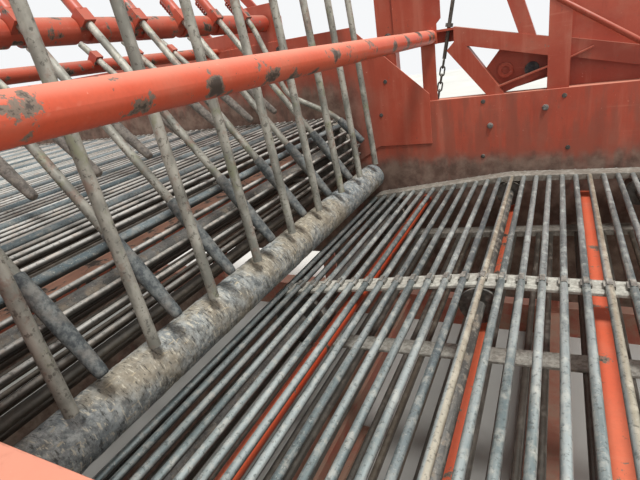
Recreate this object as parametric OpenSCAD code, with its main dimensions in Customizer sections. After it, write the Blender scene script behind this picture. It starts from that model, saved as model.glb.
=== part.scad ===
// Haulm separating and sieving section of a potato harvester.
// X runs with the crop flow, Y across the channel, Z up. The frame rails stand on z = 0.

/* [Channel] */
// Clear width between the side walls
channel_w = 1500; // [1300:10:1700]
// Reach of the frame upstream of the axle seat
upstream_l = 2200; // [1980:10:2500]
// Reach of the frame downstream of the axle seat
downstream_l = 1200; // [1080:10:1500]
// Thickness of the side wall sheets
wall_t = 4; // [3:1:6]
// Top of the low wall over the floor
low_wall_z = 890; // [860:5:940]
// Top of the tall wall over the floor
tall_wall_z = 1160; // [1120:5:1200]
// Width of the walls' folded top edge
flange_w = 45; // [30:1:55]

/* [Frame] */
// Height of the frame rails
rail_h = 120; // [100:5:160]
// Width of the frame rails
rail_w = 80; // [70:5:100]
// Wall of the rails and crossmembers
rail_t = 5; // [4:1:8]
// Side of the square posts
post_w = 60; // [50:1:60]
// Height of the tower tops over the floor
tower_z = 1500; // [1480:5:1560]
// Diameter of the top cross tube
cross_tube_d = 42.4; // [38:0.1:60.3]

/* [Upper web] */
// Diameter of the upper web's bars
upper_bar_d = 11; // [9:0.5:13]
// Spacing of the upper web's bars along the belts
upper_pitch = 32; // [28:1:45]
// Radius of the upper web's belts round the head drum, outside
nose_r = 111; // [100:1:113]
// Height of the upper web's drums
nose_z = 750; // [740:1:760]

/* [Lower web] */
// Diameter of the lower web's rubber coated bars
lower_bar_d = 14; // [11:0.5:16]
// Diameter of the rubber sleeves on every fifth bar of the upper web
bar_sleeve_d = 20; // [16:0.5:22]
// Spacing of the lower web's bars along the belts
lower_pitch = 36; // [32:1:50]
// Radius of the lower web's belts round the end drums, outside
drum_r = 78; // [66:1:80]
// Thickness of the belts of both webs
belt_t = 8; // [6:0.5:10]
// Width of the belts
belt_w = 50; // [40:1:60]

/* [Haulm roller] */
// Diameter of the haulm roller
roller_d = 94; // [80:1:100]
// Diameter of the haulm roller's shaft
roller_shaft_d = 35; // [28:1:40]

/* [Tines] */
// Spacing of the tines in all rows
tine_pitch = 160; // [150:1:165]
// Diameter of the hanging tines
hanging_d = 20; // [16:0.5:22]
// Diameter of the nose row's and web row's tines
tine_d = 18; // [14:0.5:20]
// Diameter of the rubber sleeves on the tine tips
sleeve_d = 28; // [24:0.5:30]
// Length of the rubber sleeves
sleeve_l = 180; // [120:5:200]
// Diameter of the nose row's shaft
nose_shaft_d = 57; // [48:1:60]
// Diameter of the web row's shaft
web_shaft_d = 38; // [32:1:42]
// Diameter of the hanging row's shaft
hanging_shaft_d = 48; // [42:1:52]

/* [Hidden] */

half_w = channel_w / 2;
lap_y = half_w + wall_t;
frame_y = half_w + 2 * wall_t;
rail_y = frame_y + rail_w / 2;
gap = 0.3;
paint = "#b4482f";
steel = "#85898a";
rubber = "#3f4446";

// Shafts in the side view: [x, z]
head_at = [-215, nose_z];
tail_at = [-upstream_l + 120, nose_z];
roller_at = [-65, 635];
hanging_at = [-115, tower_z - 50];
nose_row_at = [-427, 1226];
web_row_at = [-670, 1160];
cross_tube_at = [180, 1089];
lower_tail_at = [0, 494];
lower_bend_at = [426.5, 583.2];
lower_head_at = [downstream_l - 90, 557.5];
bend_r = 48;

// Belt loops, clockwise from the left end: [x, z, radius of the belt's outside]
upper_loop = [[tail_at.x, tail_at.y, nose_r], [head_at.x, head_at.y, nose_r]];
lower_loop = [[lower_tail_at.x, lower_tail_at.y, drum_r], [lower_bend_at.x, lower_bend_at.y, bend_r],
    [lower_head_at.x, lower_head_at.y, drum_r]];
upper_belts = [-half_w + 45, half_w - 45];
lower_belts = [-half_w + 45, 0, half_w - 45];
web_end = 12;
bar_sink = 3;

head_shaft_d = 38;
web_axle_d = 35;
support_d = 80;
pin_d = 25;

// Angle of the outward normal on the tangent from circle a to circle b
function tangent_angle(a, b) =
    let (d = [b[0] - a[0], b[1] - a[1]]) atan2(d.y, d.x) + acos((a[2] - b[2]) / norm(d));
function run_length(c, i) =
    let (a = c[i], b = c[(i + 1) % len(c)])
    sqrt(pow(b[0] - a[0], 2) + pow(b[1] - a[1], 2) - pow(a[2] - b[2], 2));
function wrapped(a) = a - 360 * floor(a / 360);
function bend_length(c, i) =
    let (n = len(c), a = c[i], b = c[(i + 1) % n], d = c[(i + 2) % n])
    b[2] * wrapped(tangent_angle(a, b) - tangent_angle(b, d)) * PI / 180;
function loop_length(c, i = 0) =
    i >= len(c) ? 0 : run_length(c, i) + bend_length(c, i) + loop_length(c, i + 1);
// Point on the loop at the length s from its start, with the outward normal's angle
function loop_at(c, s, i = 0) =
    let (n = len(c), k = i % n, a = c[k], b = c[(k + 1) % n], t = tangent_angle(a, b),
        run = run_length(c, k), bend = bend_length(c, k))
    s < run ? [a[0] + a[2] * cos(t) + s * sin(t), a[1] + a[2] * sin(t) - s * cos(t), t]
    : s < run + bend ? let (q = t - (s - run) / b[2] * 180 / PI)
        [b[0] + b[2] * cos(q), b[1] + b[2] * sin(q), q]
    : loop_at(c, s - run - bend, i + 1);

// A side view outline, drawn as (x, z), made solid from y0 to y1
module across(y0, y1) {
    translate([0, y1, 0]) rotate([90, 0, 0]) linear_extrude(y1 - y0) children();
}

module rod(at, d, y0, y1) {
    translate([at.x, y1, at.y]) rotate([90, 0, 0]) cylinder(d = d, h = y1 - y0, $fn = 48);
}

module tube(at, d, wall, y0, y1) {
    difference() {
        rod(at, d, y0, y1);
        rod(at, d - 2 * wall, y0 - 1, y1 + 1);
    }
}

module on_side(side) {
    mirror([0, side > 0 ? 0 : 1, 0]) children();
}

// Straight bar between two side view points, b deep in y and h high
module beam(p, q, h, y0, y1) {
    n = [p.y - q.y, q.x - p.x] * h / 2 / norm(q - p);
    across(y0, y1) polygon([p - n, q - n, q + n, p + n]);
}

// Frame

module rail(side) {
    plate_t = 12;
    bolt = 17;
    color(paint) on_side(side) {
        difference() {
            translate([-upstream_l + plate_t, frame_y, 0])
                cube([upstream_l + downstream_l - 2 * plate_t, rail_w, rail_h]);
            translate([-upstream_l, frame_y + rail_t, rail_t])
                cube([upstream_l + downstream_l, rail_w - 2 * rail_t, rail_h - 2 * rail_t]);
        }
        for (x = [-upstream_l, downstream_l - plate_t])
            difference() {
                translate([x, frame_y - 10, 0]) cube([plate_t, rail_w + 20, rail_h + 50]);
                for (y = [0, 1], z = [0, 1])
                    translate([x - 2, frame_y + 10 + y * (rail_w - 20), rail_h - 85 + z * 105])
                        rotate([0, 90, 0]) cylinder(d = bolt, h = plate_t + 4, $fn = 32);
            }
    }
}

// Crossmembers between the rails, evenly spaced each way from the one over the axle seat
module crossmembers() {
    size = 80;
    seat = [200, 240, 20];
    bolt = 18;
    steps_up = 4;
    steps_down = 2;
    color(paint) {
        for (k = [-steps_up : steps_down]) {
            x = k < 0 ? k / steps_up * (upstream_l - 80) : k / steps_down * (downstream_l - 100);
            difference() {
                translate([x - size / 2, -frame_y, seat.z]) cube([size, 2 * frame_y, size]);
                translate([x - size / 2 + rail_t, -frame_y - 1, seat.z + rail_t])
                    cube([size - 2 * rail_t, 2 * frame_y + 2, size - 2 * rail_t]);
            }
        }
        difference() {
            translate([-seat.x / 2, -seat.y / 2, 0]) cube(seat);
            for (x = [-80, 80], y = [-80, 80])
                translate([x, y, -1]) cylinder(d = bolt, h = seat.z + 2, $fn = 32);
        }
    }
}

// Posts: [x, inner face in y, top in z]
lower_posts = [[tail_at.x + 100, lap_y, tall_wall_z - wall_t], [tail_at.x + 560, lap_y, tall_wall_z - wall_t],
    [-980, lap_y, tall_wall_z - wall_t], [-345, lap_y, tall_wall_z - wall_t],
    [90, frame_y, low_wall_z - wall_t], [523, frame_y, low_wall_z - wall_t],
    [downstream_l - 240, frame_y, low_wall_z - wall_t]];

module posts() {
    wall = 4;
    color(paint)
        for (side = [-1, 1], p = lower_posts)
            on_side(side) difference() {
                translate([p[0], p[1], rail_h]) cube([post_w, post_w, p[2] - rail_h]);
                translate([p[0] + wall, p[1] + wall, rail_h - 1])
                    cube([post_w - 2 * wall, post_w - 2 * wall, p[2] - rail_h + 2]);
            }
}

module shaft_hole(at, d) {
    translate(at) circle(d = d, $fn = 48);
}

module low_wall(side) {
    x0 = -280;
    x1 = downstream_l - 20;
    z0 = rail_h + 30;
    color(paint) on_side(side) {
        across(lap_y, frame_y)
            difference() {
                translate([x0, z0]) square([x1 - x0, low_wall_z - z0]);
                for (at = [head_at, roller_at, lower_tail_at, lower_head_at]) shaft_hole(at, 52);
            }
        translate([x0, frame_y, low_wall_z - wall_t]) cube([x1 - x0, flange_w, wall_t]);
    }
}

// The shaft plates' reach along the wall
plate_x = [-770, -355];

module tall_wall(side) {
    x0 = -upstream_l + 20;
    foot = 300;
    color(paint) on_side(side) {
        across(half_w, lap_y)
            difference() {
                polygon([[x0, foot], [x0, tall_wall_z], [-93, tall_wall_z], [24, tall_wall_z - 110],
                    [167, low_wall_z + 25], [167, 746], [-25, 746], [-120, 690], [-120, foot]]);
                for (at = [head_at, tail_at, web_row_at]) shaft_hole(at, 52);
            }
        for (run = [[x0, plate_x[0] - 5], [plate_x[1] + 5, -93]])
            translate([run[0], lap_y, tall_wall_z - wall_t]) cube([run[1] - run[0], 40, wall_t]);
    }
}

// Upright tubes that stand on the low walls' folded edges
module towers() {
    wall = 4;
    color(paint)
        for (side = [-1, 1])
            on_side(side) difference() {
                translate([0, frame_y, low_wall_z]) cube([post_w, flange_w, tower_z - low_wall_z]);
                translate([wall, frame_y + wall, low_wall_z - 1])
                    cube([post_w - 2 * wall, flange_w - 2 * wall, tower_z - low_wall_z + 2]);
            }
}

module tower_plates() {
    t = 6;
    arm_z = tower_z - 95;
    foot_z = cross_tube_at.y - 23;
    color(paint)
        for (side = [-1, 1])
            on_side(side) across(frame_y - t, frame_y)
                difference() {
                    polygon([[-175, arm_z], [-175, tower_z - 5], [215, tower_z - 5], [215, foot_z + 74],
                        [201, foot_z + 60], [201, foot_z], [60, foot_z], [60, tower_z - 210], [-55, arm_z]]);
                    shaft_hole(hanging_at, pin_d + 2 * gap);
                }
}

module shaft_plates() {
    t = 8;
    color(paint)
        for (side = [-1, 1])
            on_side(side) across(lap_y, lap_y + t)
                difference() {
                    polygon([[plate_x[0], 1000], [plate_x[0], 1110], [-720, 1215], [-620, 1215],
                        [-500, 1290], [-390, 1290], [plate_x[1], 1240], [plate_x[1], 1000]]);
                    shaft_hole(nose_row_at, pin_d + 2 * gap);
                    shaft_hole(web_row_at, pin_d + 2 * gap);
                }
}

module struts() {
    leg = 46;
    t = 5;
    color(paint)
        for (side = [-1, 1])
            on_side(side) translate([146, frame_y, low_wall_z]) {
                cube([leg, t, 240]);
                cube([t, flange_w, 240]);
            }
}

// Flat bar between two side view points with upright ends
module sloped(p, q, h, y0, y1) {
    across(y0, y1) polygon([[p.x, p.y - h / 2], [q.x, q.y - h / 2], [q.x, q.y + h / 2], [p.x, p.y + h / 2]]);
}

// Bars on the left side, behind the tower
module side_frame() {
    y = [frame_y, frame_y + flange_w];
    z = low_wall_z;
    post_x = [523, downstream_l - 180];
    color(paint) {
        translate([post_x[0], y[0], z]) cube([post_w, flange_w, tower_z - z]);
        translate([post_x[1], y[0], z]) cube([post_w, flange_w, 410]);
        translate([post_w, y[0], tower_z - 60]) cube([post_x[0] - post_w, flange_w, 50]);
        sloped([252, 1083], [post_x[0], 1014], 52, y[0], y[1]);
        across(y[0] + 18, y[1])
            polygon([[583, 975], [post_x[1] - 102, z], [post_x[1], z], [post_x[1], z + 26], [583, 1027]]);
        across(y[0] + 2, y[0] + 40)
            polygon([[442, 1060.5], [490, 1048.5], [358, tower_z - 60], [310, tower_z - 60]]);
        across(y[0], y[1]) polygon([[228, 1041], [256, 1068], [284, 1056], [402, z], [350, z]]);
        across(y[0], y[0] + 34)
            polygon([[352, z + 11], [352, z + 16], [374, z + 22], [post_x[0], z + 69], [post_x[0], z + 64],
                [374, z + 17]]);
        across(y[0] + 29, y[0] + 34)
            polygon([[350, z], [350, z + 14], [374, z + 20], [post_x[0], z + 67], [post_x[0], z + 46],
                [410, z + 4], [400, z]]);
        across(y[0] + 4, y[0] + 20) polygon([[581, 972], [641, 995], [641, 999], [581, 976]]);
        difference() {
            union() {
                translate([192, y[0] + 1, 1100]) cube([64, 40, 7]);
                translate([192, y[0] + 35, 1066]) cube([64, 6, 38]);
            }
            translate([chain_foot.x + 210 * tan(chain_lean), chain_foot.y, 1099])
                cylinder(d = 20, h = 12, $fn = 32);
        }
        guard_rod();
    }
}

// Gear housing outside the guard plate, with a boss that shows below the beam
module side_housing() {
    y = frame_y + flange_w + 3;
    boss = [402, 957];
    color(paint) {
        across(y, y + 78)
            polygon([[344, 972], [386, 1024], [445, 1008], [560, 984], [560, 930], [430, 900], [369, 906]]);
        difference() {
            rod(boss, 46, y - 12, y + 2);
            rod(boss, 24, y - 13, y - 4);
        }
    }
}

// Round bar from the post down to the wall's folded edge
module guard_rod() {
    a = [530, 1147];
    b = [904, low_wall_z];
    d = 16;
    intersection() {
        translate([a.x, frame_y + 4, a.y]) rotate([0, 90 + atan2(a.y - b.y, b.x - a.x), 0])
            translate([0, 0, -30]) cylinder(d = d, h = norm(b - a) + 60, $fn = 32);
        translate([a.x, frame_y - 10, b.y]) cube([b.x - a.x + 40, flange_w, 300]);
    }
}

module guard_plate() {
    y = frame_y + flange_w;
    z = low_wall_z - wall_t;
    color(paint)
        across(y, y + 3) polygon([[523, z], [523, 1300], [1080, 1300], [1080, z]]);
}

module top_cross_tube() {
    end = frame_y - 6;
    color(paint) tube(cross_tube_at, cross_tube_d, 3.2, -end, end);
}

module chain_link(at, turn) {
    wire = 5;
    pitch_l = 16;
    inner = 9;
    translate(at) rotate([0, 0, turn]) {
        for (s = [-1, 1]) {
            translate([0, 0, s * pitch_l / 2]) rotate([90, 0, 0])
                rotate([0, 0, s > 0 ? 0 : 180])
                    rotate_extrude(angle = 180, $fn = 32)
                        translate([inner / 2 + wire / 2, 0]) circle(d = wire, $fn = 16);
            translate([s * (inner + wire) / 2, 0, -pitch_l / 2]) cylinder(d = wire, h = pitch_l, $fn = 16);
        }
    }
}

// Where the chain meets the wall, in x and y, and its lean downstream
chain_foot = [190, frame_y + 16];
chain_lean = 11.8;

// Threaded rod in the side frame's lug, with a chain down to the wall
module adjusting_chain() {
    links = 5;
    step = 24.6;
    half_link = 17.5;
    rod_from = half_link + (links - 1) * step + half_link - 3.5;
    nut_at = (1110 - low_wall_z) / cos(chain_lean);
    color(steel)
        translate([chain_foot.x, chain_foot.y, low_wall_z + gap]) rotate([0, chain_lean, 0]) {
            for (k = [0 : links - 1])
                chain_link([0, 0, half_link + k * step], (k + 1) % 2 * 90);
            translate([0, 0, rod_from]) cylinder(d = 12, h = 285, $fn = 32);
            translate([0, 0, nut_at]) cylinder(d = 24, h = 11, $fn = 6);
        }
}

// Webs

// Points along the loop's line, moved out by grow: the runs' ends, with the bends in small steps
function loop_points(c, grow, step = 6) =
    [for (i = [0 : len(c) - 1])
        let (n = len(c), a = c[i], b = c[(i + 1) % n], d = c[(i + 2) % n],
            from = tangent_angle(a, b), turn = wrapped(from - tangent_angle(b, d)),
            steps = max(1, ceil(turn / step)))
        for (k = [0 : steps])
            let (q = from - turn * k / steps)
            [b[0] + (b[2] + grow) * cos(q), b[1] + (b[2] + grow) * sin(q)]];

module web(c, bar_d, pitch, belts) {
    total = loop_length(c);
    bars = round(total / pitch);
    for (y = belts)
        across(y - belt_w / 2, y + belt_w / 2)
            difference() {
                polygon(loop_points(c, 0));
                polygon(loop_points(c, -belt_t));
            }
    for (k = [0 : bars - 1]) {
        p = loop_at(c, (k + 0.3) * total / bars);
        lift = bar_d / 2 - bar_sink;
        rod([p[0] + lift * cos(p[2]), p[1] + lift * sin(p[2])], bar_d, -half_w + web_end, half_w - web_end);
    }
}

module upper_web() color(steel) web(upper_loop, upper_bar_d, upper_pitch, upper_belts);
module lower_web() color(steel) web(lower_loop, lower_bar_d, lower_pitch, lower_belts);

// Rubber tubes on every fifth bar, between the belts
module bar_sleeves() {
    total = loop_length(upper_loop);
    bars = round(total / upper_pitch);
    clear = belt_w / 2 + 6;
    lift = upper_bar_d / 2 - bar_sink;
    color(rubber)
        for (k = [0 : 5 : bars - 1]) {
            p = loop_at(upper_loop, (k + 0.3) * total / bars);
            tube([p[0] + lift * cos(p[2]), p[1] + lift * sin(p[2])], bar_sleeve_d,
                (bar_sleeve_d - upper_bar_d) / 2, upper_belts[0] + clear, upper_belts[1] - clear);
        }
}

// Shaft with a rubber lined wheel under each belt
module drum(at, r, shaft_d, reach_l, reach_r, belts) {
    rod(at, shaft_d, -reach_r, reach_l);
    for (y = belts) rod(at, 2 * r, y - belt_w / 2 - 4, y + belt_w / 2 + 4);
}

bearing_out = 34;
axle_out = frame_y + bearing_out + 10;
motor_in = frame_y + 16;

module upper_head_drum()
    color(steel) drum(head_at, nose_r - belt_t - gap, head_shaft_d, motor_in, axle_out, upper_belts);
module upper_tail_drum()
    color(steel) drum(tail_at, nose_r - belt_t - gap, head_shaft_d, axle_out, axle_out, upper_belts);
module lower_head_drum()
    color(steel) drum(lower_head_at, drum_r - belt_t - gap, web_axle_d, motor_in, axle_out, lower_belts);
module lower_tail_drum()
    color(steel) drum(lower_tail_at, drum_r - belt_t - gap, web_axle_d, axle_out, axle_out, lower_belts);

module upper_supports() {
    z = nose_z + nose_r - belt_t - gap - support_d / 2;
    color(steel)
        for (x = [-500 : -400 : tail_at.x + 300])
            drum([x, z], support_d / 2, pin_d, half_w, half_w, upper_belts);
}

module upper_crossbars() {
    color(paint)
        for (x = [-390, -900, -1400, tail_at.x + 180])
            translate([x, -half_w, 700]) cube([60, channel_w, 40]);
}

module lower_supports() {
    r = bend_r - belt_t - gap;
    x = 780;
    part_way = (x - lower_bend_at.x) / (lower_head_at.x - lower_bend_at.x);
    z = lower_bend_at.y + part_way * (lower_head_at.y + drum_r - bend_r - lower_bend_at.y) - gap;
    color(steel)
        for (at = [lower_bend_at, [x, z]]) drum(at, r, pin_d, lap_y, lap_y, lower_belts);
}

module lower_crossbars() {
    color(paint) {
        rod([135, 540], 32, -lap_y, lap_y);
        translate([405, -lap_y, 488]) cube([38, 2 * lap_y, 30]);
        translate([622, -lap_y, 525]) cube([42, 2 * lap_y, 40]);
        translate([lower_head_at.x - 210, -lap_y, 525]) cube([42, 2 * lap_y, 40]);
    }
}

// Square flange bearing, seated at y0 on the wall
module bearing(at, bore, y0) {
    side = 100;
    difference() {
        union() {
            translate([at.x - side / 2, y0, at.y - side / 2]) cube([side, 12, side]);
            rod(at, 72, y0 + 10, y0 + bearing_out);
        }
        rod(at, bore + 2 * gap, y0 - 1, y0 + bearing_out + 1);
        for (x = [-1, 1], z = [-1, 1])
            rod([at.x + x * 38, at.y + z * 38], 13, y0 - 1, y0 + 13);
    }
}

module bearings() {
    color(steel) {
        for (side = [-1, 1])
            on_side(side) {
                bearing(tail_at, head_shaft_d, lap_y);
                bearing(lower_tail_at, web_axle_d, frame_y);
            }
        on_side(-1) {
            bearing(head_at, head_shaft_d, frame_y);
            bearing(lower_head_at, web_axle_d, frame_y);
            bearing(roller_at, roller_shaft_d, frame_y);
        }
    }
}

module drive_motor(at, bore) {
    side = 100;
    depth = 76;
    difference() {
        union() {
            translate([at.x - side / 2, frame_y, at.y - side / 2]) cube([side, 16, side]);
            rod(at, 84, frame_y + 14, frame_y + depth);
            for (s = [-1, 1])
                translate([at.x + s * 20, frame_y + 50, at.y]) cylinder(d = 26, h = 54, $fn = 32);
        }
        rod(at, bore + 2 * gap, frame_y - 1, motor_in + 1);
        for (x = [-1, 1], z = [-1, 1])
            rod([at.x + x * 40, at.y + z * 40], 13, frame_y - 1, frame_y + 17);
    }
}

module drive_motors() {
    color("#4a4e52") {
        drive_motor(head_at, head_shaft_d);
        drive_motor(roller_at, roller_shaft_d);
        drive_motor(lower_head_at, web_axle_d);
        rod([479, 952], 42, frame_y + flange_w - 10, frame_y + flange_w + 3);
    }
}

module roller_scraper() {
    color(paint)
        across(-half_w, half_w)
            translate(roller_at) rotate(223)
                translate([roller_d / 2 + 5, -2]) square([41, 5]);
}

// Haulm roller

module haulm_roller() {
    end = half_w - 8;
    color("#8d8474") tube(roller_at, roller_d, 6, -end, end);
}

module haulm_shaft() {
    end = half_w - 8;
    color(steel) {
        rod(roller_at, roller_shaft_d, -axle_out - 12, motor_in);
        for (s = [-1, 1])
            difference() {
                rod(roller_at, roller_d - 12, s > 0 ? end - 14 : -end, s > 0 ? end : -end + 14);
                rod(roller_at, roller_shaft_d - 1, -end - 1, end + 1);
            }
    }
}

// Tine rows

// Row: places of the tines across the channel, from the first by the pitch
hanging_n = 9;
hanging_first = -590;
nose_n = 8;
nose_first = -535;
web_n = 9;
web_first = -643;

// Draws in the row's own frame: x across the tine in the side view, -z along it
module in_row(at, lean) {
    translate([at.x, 0, at.y]) rotate([0, -lean, 0]) children();
}

hanging_lean = 3.7;
nose_lean = 35.8;
web_lean = 46;
hanging_off = hanging_shaft_d / 2 + hanging_d / 2 + 4;
nose_off = nose_shaft_d / 2 + tine_d / 2;
web_off = web_shaft_d / 2 + tine_d / 2 + 3;
roller_top = roller_at.y + roller_d / 2;
hanging_l = (hanging_at.y + hanging_off * sin(hanging_lean) - roller_top - 14) / cos(hanging_lean);
nose_l = (nose_row_at.y + nose_off * sin(nose_lean) - roller_top - 45) / cos(nose_lean);
web_l = 372;

module row_shaft(at, d, end = half_w - 8) {
    rod(at, d, -end, end);
    rod(at, pin_d, -frame_y - 12, frame_y + 36);
}

module lever(at, angle) {
    in_row(at, angle) translate([0, frame_y + 20, 0]) {
        difference() {
            translate([-15, 0, -10]) cube([30, 10, 170]);
            translate([0, -1, 148]) rotate([-90, 0, 0]) cylinder(d = 12, h = 12, $fn = 32);
        }
    }
}

module hanging_shaft() {
    color(paint) {
        row_shaft(hanging_at, hanging_shaft_d);
        lever(hanging_at, 40);
    }
}

module hanging_tines() {
    color(steel)
        for (k = [0 : hanging_n - 1])
            in_row(hanging_at, hanging_lean)
                translate([hanging_off, hanging_first + k * tine_pitch, -hanging_l])
                    cylinder(d = hanging_d, h = hanging_l + 40, $fn = 32);
}

module hanging_clamps() {
    half = 24;
    color(paint)
        for (k = [0 : hanging_n - 1])
            in_row(hanging_at, hanging_lean)
                translate([0, hanging_first + k * tine_pitch, 0])
                    difference() {
                        translate([0, -half, -22]) cube([hanging_off + hanging_d / 2 + 6, 2 * half, 44]);
                        rotate([90, 0, 0])
                            cylinder(d = hanging_shaft_d, h = 3 * half, center = true, $fn = 48);
                        translate([hanging_off, 0, -30]) cylinder(d = hanging_d, h = 60, $fn = 32);
                    }
}

nose_core_d = nose_shaft_d - 12;

// Core with a spacer tube between each two tines
module nose_shaft() {
    end = half_w - 8;
    half = 17;
    color(paint) {
        row_shaft(nose_row_at, nose_core_d);
        rod(nose_row_at, nose_shaft_d, -end, nose_first - half);
        for (k = [0 : nose_n - 2])
            rod(nose_row_at, nose_shaft_d, nose_first + k * tine_pitch + half,
                nose_first + (k + 1) * tine_pitch - half);
        rod(nose_row_at, nose_shaft_d, nose_first + (nose_n - 1) * tine_pitch + half, end);
        lever(nose_row_at, 40);
    }
}

// Holders with a guide tube round each tine over the shaft
module nose_holders() {
    half = 15;
    color(paint)
        for (k = [0 : nose_n - 1])
            in_row(nose_row_at, nose_lean)
                translate([0, nose_first + k * tine_pitch, 0]) {
                    difference() {
                        union() {
                            translate([0, -half, -17]) cube([nose_off + tine_d / 2 + 4, 2 * half, 34]);
                            translate([nose_off, 0, 15]) cylinder(d = tine_d + 10, h = 95, $fn = 32);
                        }
                        rotate([90, 0, 0])
                            cylinder(d = nose_core_d, h = 60, center = true, $fn = 48);
                        translate([nose_off, 0, -30]) cylinder(d = tine_d, h = 150, $fn = 32);
                    }
                }
}

module nose_springs() {
    turns = 12;
    wire = 6;
    core = 9;
    color(paint)
        for (k = [0 : nose_n - 1])
            in_row(nose_row_at, nose_lean)
                translate([0, nose_first + 45 + k * tine_pitch, nose_shaft_d / 2 + gap])
                    rotate_extrude($fn = 32)
                        polygon(concat([[0, 0]], [for (i = [0 : turns - 1], e = [0, 1])
                            [core + e * wire / 2 + wire / 4, (i + e * 0.5) * wire]],
                            [[core, turns * wire], [0, turns * wire]]));
}

module row_rods(at, lean, off, length, over, count, first) {
    for (k = [0 : count - 1])
        in_row(at, lean)
            translate([off, first + k * tine_pitch, -length])
                cylinder(d = tine_d, h = length + over, $fn = 32);
}

module row_sleeves(at, lean, off, length, count, first) {
    for (k = [0 : count - 1])
        in_row(at, lean)
            translate([off, first + k * tine_pitch, -length])
                difference() {
                    union() {
                        translate([0, 0, -8]) cylinder(d1 = 0.6 * sleeve_d, d2 = sleeve_d, h = 8, $fn = 32);
                        cylinder(d = sleeve_d, h = sleeve_l, $fn = 32);
                    }
                    cylinder(d = tine_d, h = sleeve_l + 1, $fn = 32);
                }
}

// The last tine of the nose row is bent: [x, z] in the row's frame, down from the holder
bent = [[nose_off, -40], [-28, -285], [59, -447], [77, -571]];

// Round bar from a to b in a row's frame, with a slightly thicker knee at a that joins the runs
module bent_run(a, b, d, to_knee) {
    knee = d / 2 - 5;
    translate([a.x, 0, a.y]) {
        rotate([90, 0, 0]) cylinder(d = d + 4, h = d + 4, center = true, $fn = 32);
        rotate([0, atan2(b.x - a.x, b.y - a.y), 0]) translate([0, 0, knee])
            cylinder(d = d, h = norm(b - a) - knee - (to_knee ? knee : 0), $fn = 32);
    }
}

module nose_tines() {
    last = nose_n - 1;
    color(steel) {
        row_rods(nose_row_at, nose_lean, nose_off, nose_l, 120, last, nose_first);
        in_row(nose_row_at, nose_lean) translate([0, nose_first + last * tine_pitch, 0]) {
            translate([nose_off, 0, bent[0].y + 4]) cylinder(d = tine_d, h = 116 - bent[0].y, $fn = 32);
            for (k = [0 : 2])
                bent_run(bent[k], bent[k + 1], tine_d, k < 2);
        }
    }
}

module nose_sleeves() {
    last = nose_n - 1;
    run = bent[3] - bent[2];
    color(rubber) {
        row_sleeves(nose_row_at, nose_lean, nose_off, nose_l, last, nose_first);
        in_row(nose_row_at, nose_lean) translate([bent[3].x, nose_first + last * tine_pitch, bent[3].y])
            rotate([0, atan2(-run.x, -run.y), 0])
                difference() {
                    translate([0, 0, -8]) cylinder(d = sleeve_d, h = 108, $fn = 32);
                    cylinder(d = tine_d, h = 120, $fn = 32);
                }
    }
}

module web_shaft() {
    color(paint) {
        row_shaft(web_row_at, web_shaft_d, half_w - 50);
        lever(web_row_at, 40);
    }
}

module web_tines() color(steel) row_rods(web_row_at, web_lean, web_off, web_l, 60, web_n, web_first);
module web_sleeves() color(rubber) row_sleeves(web_row_at, web_lean, web_off, web_l, web_n, web_first);

module web_clamps() {
    half = 12;
    color(paint)
        for (k = [0 : web_n - 1])
            in_row(web_row_at, web_lean)
                translate([0, web_first + k * tine_pitch, 0])
                    difference() {
                        translate([0, -half, -14]) cube([web_off + tine_d / 2 + 4, 2 * half, 28]);
                        rotate([90, 0, 0]) cylinder(d = web_shaft_d, h = 60, center = true, $fn = 48);
                        translate([web_off, 0, -30]) cylinder(d = tine_d, h = 60, $fn = 32);
                    }
}

rail(1);  // rail_left
rail(-1);  // rail_right
crossmembers();
posts();
low_wall(1);  // low_wall_left
low_wall(-1);  // low_wall_right
tall_wall(1);  // tall_wall_left
tall_wall(-1);  // tall_wall_right
towers();
tower_plates();
shaft_plates();
struts();
side_frame();
side_housing();
guard_plate();
top_cross_tube();
adjusting_chain();
upper_web();
bar_sleeves();
upper_head_drum();
upper_tail_drum();
upper_supports();
upper_crossbars();
lower_web();
lower_head_drum();
lower_tail_drum();
lower_supports();
lower_crossbars();
bearings();
drive_motors();
roller_scraper();
haulm_roller();
haulm_shaft();
hanging_shaft();
hanging_tines();
hanging_clamps();
nose_shaft();
nose_holders();
nose_springs();
nose_tines();
nose_sleeves();
web_shaft();
web_tines();
web_clamps();
web_sleeves();
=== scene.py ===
import bpy
import bmesh
import math
from mathutils import Matrix, Vector, noise


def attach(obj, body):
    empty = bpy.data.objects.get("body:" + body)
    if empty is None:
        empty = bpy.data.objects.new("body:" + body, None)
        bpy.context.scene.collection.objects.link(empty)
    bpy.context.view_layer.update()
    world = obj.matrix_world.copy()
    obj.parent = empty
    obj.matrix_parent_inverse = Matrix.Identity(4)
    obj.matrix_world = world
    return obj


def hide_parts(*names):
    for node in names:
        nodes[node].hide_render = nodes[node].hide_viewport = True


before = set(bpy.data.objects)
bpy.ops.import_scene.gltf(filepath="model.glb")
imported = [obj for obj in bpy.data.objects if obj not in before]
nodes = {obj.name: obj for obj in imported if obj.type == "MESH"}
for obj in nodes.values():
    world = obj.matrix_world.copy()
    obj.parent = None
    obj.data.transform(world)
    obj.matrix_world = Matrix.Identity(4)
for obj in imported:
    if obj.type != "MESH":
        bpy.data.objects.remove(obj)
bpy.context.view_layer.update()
MM = 0.001

# Sizes in millimetres. What the solids have too repeats the CAD source
# The channel runs between the tall walls' inner faces; the low wall stands outside them
CHANNEL_HALF = 750
LOW_WALL_IN, LOW_WALL_OUT = 754, 758
SHAFT_PLATE_OUT, TOWER_PLATE_IN = 762, 752
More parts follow.
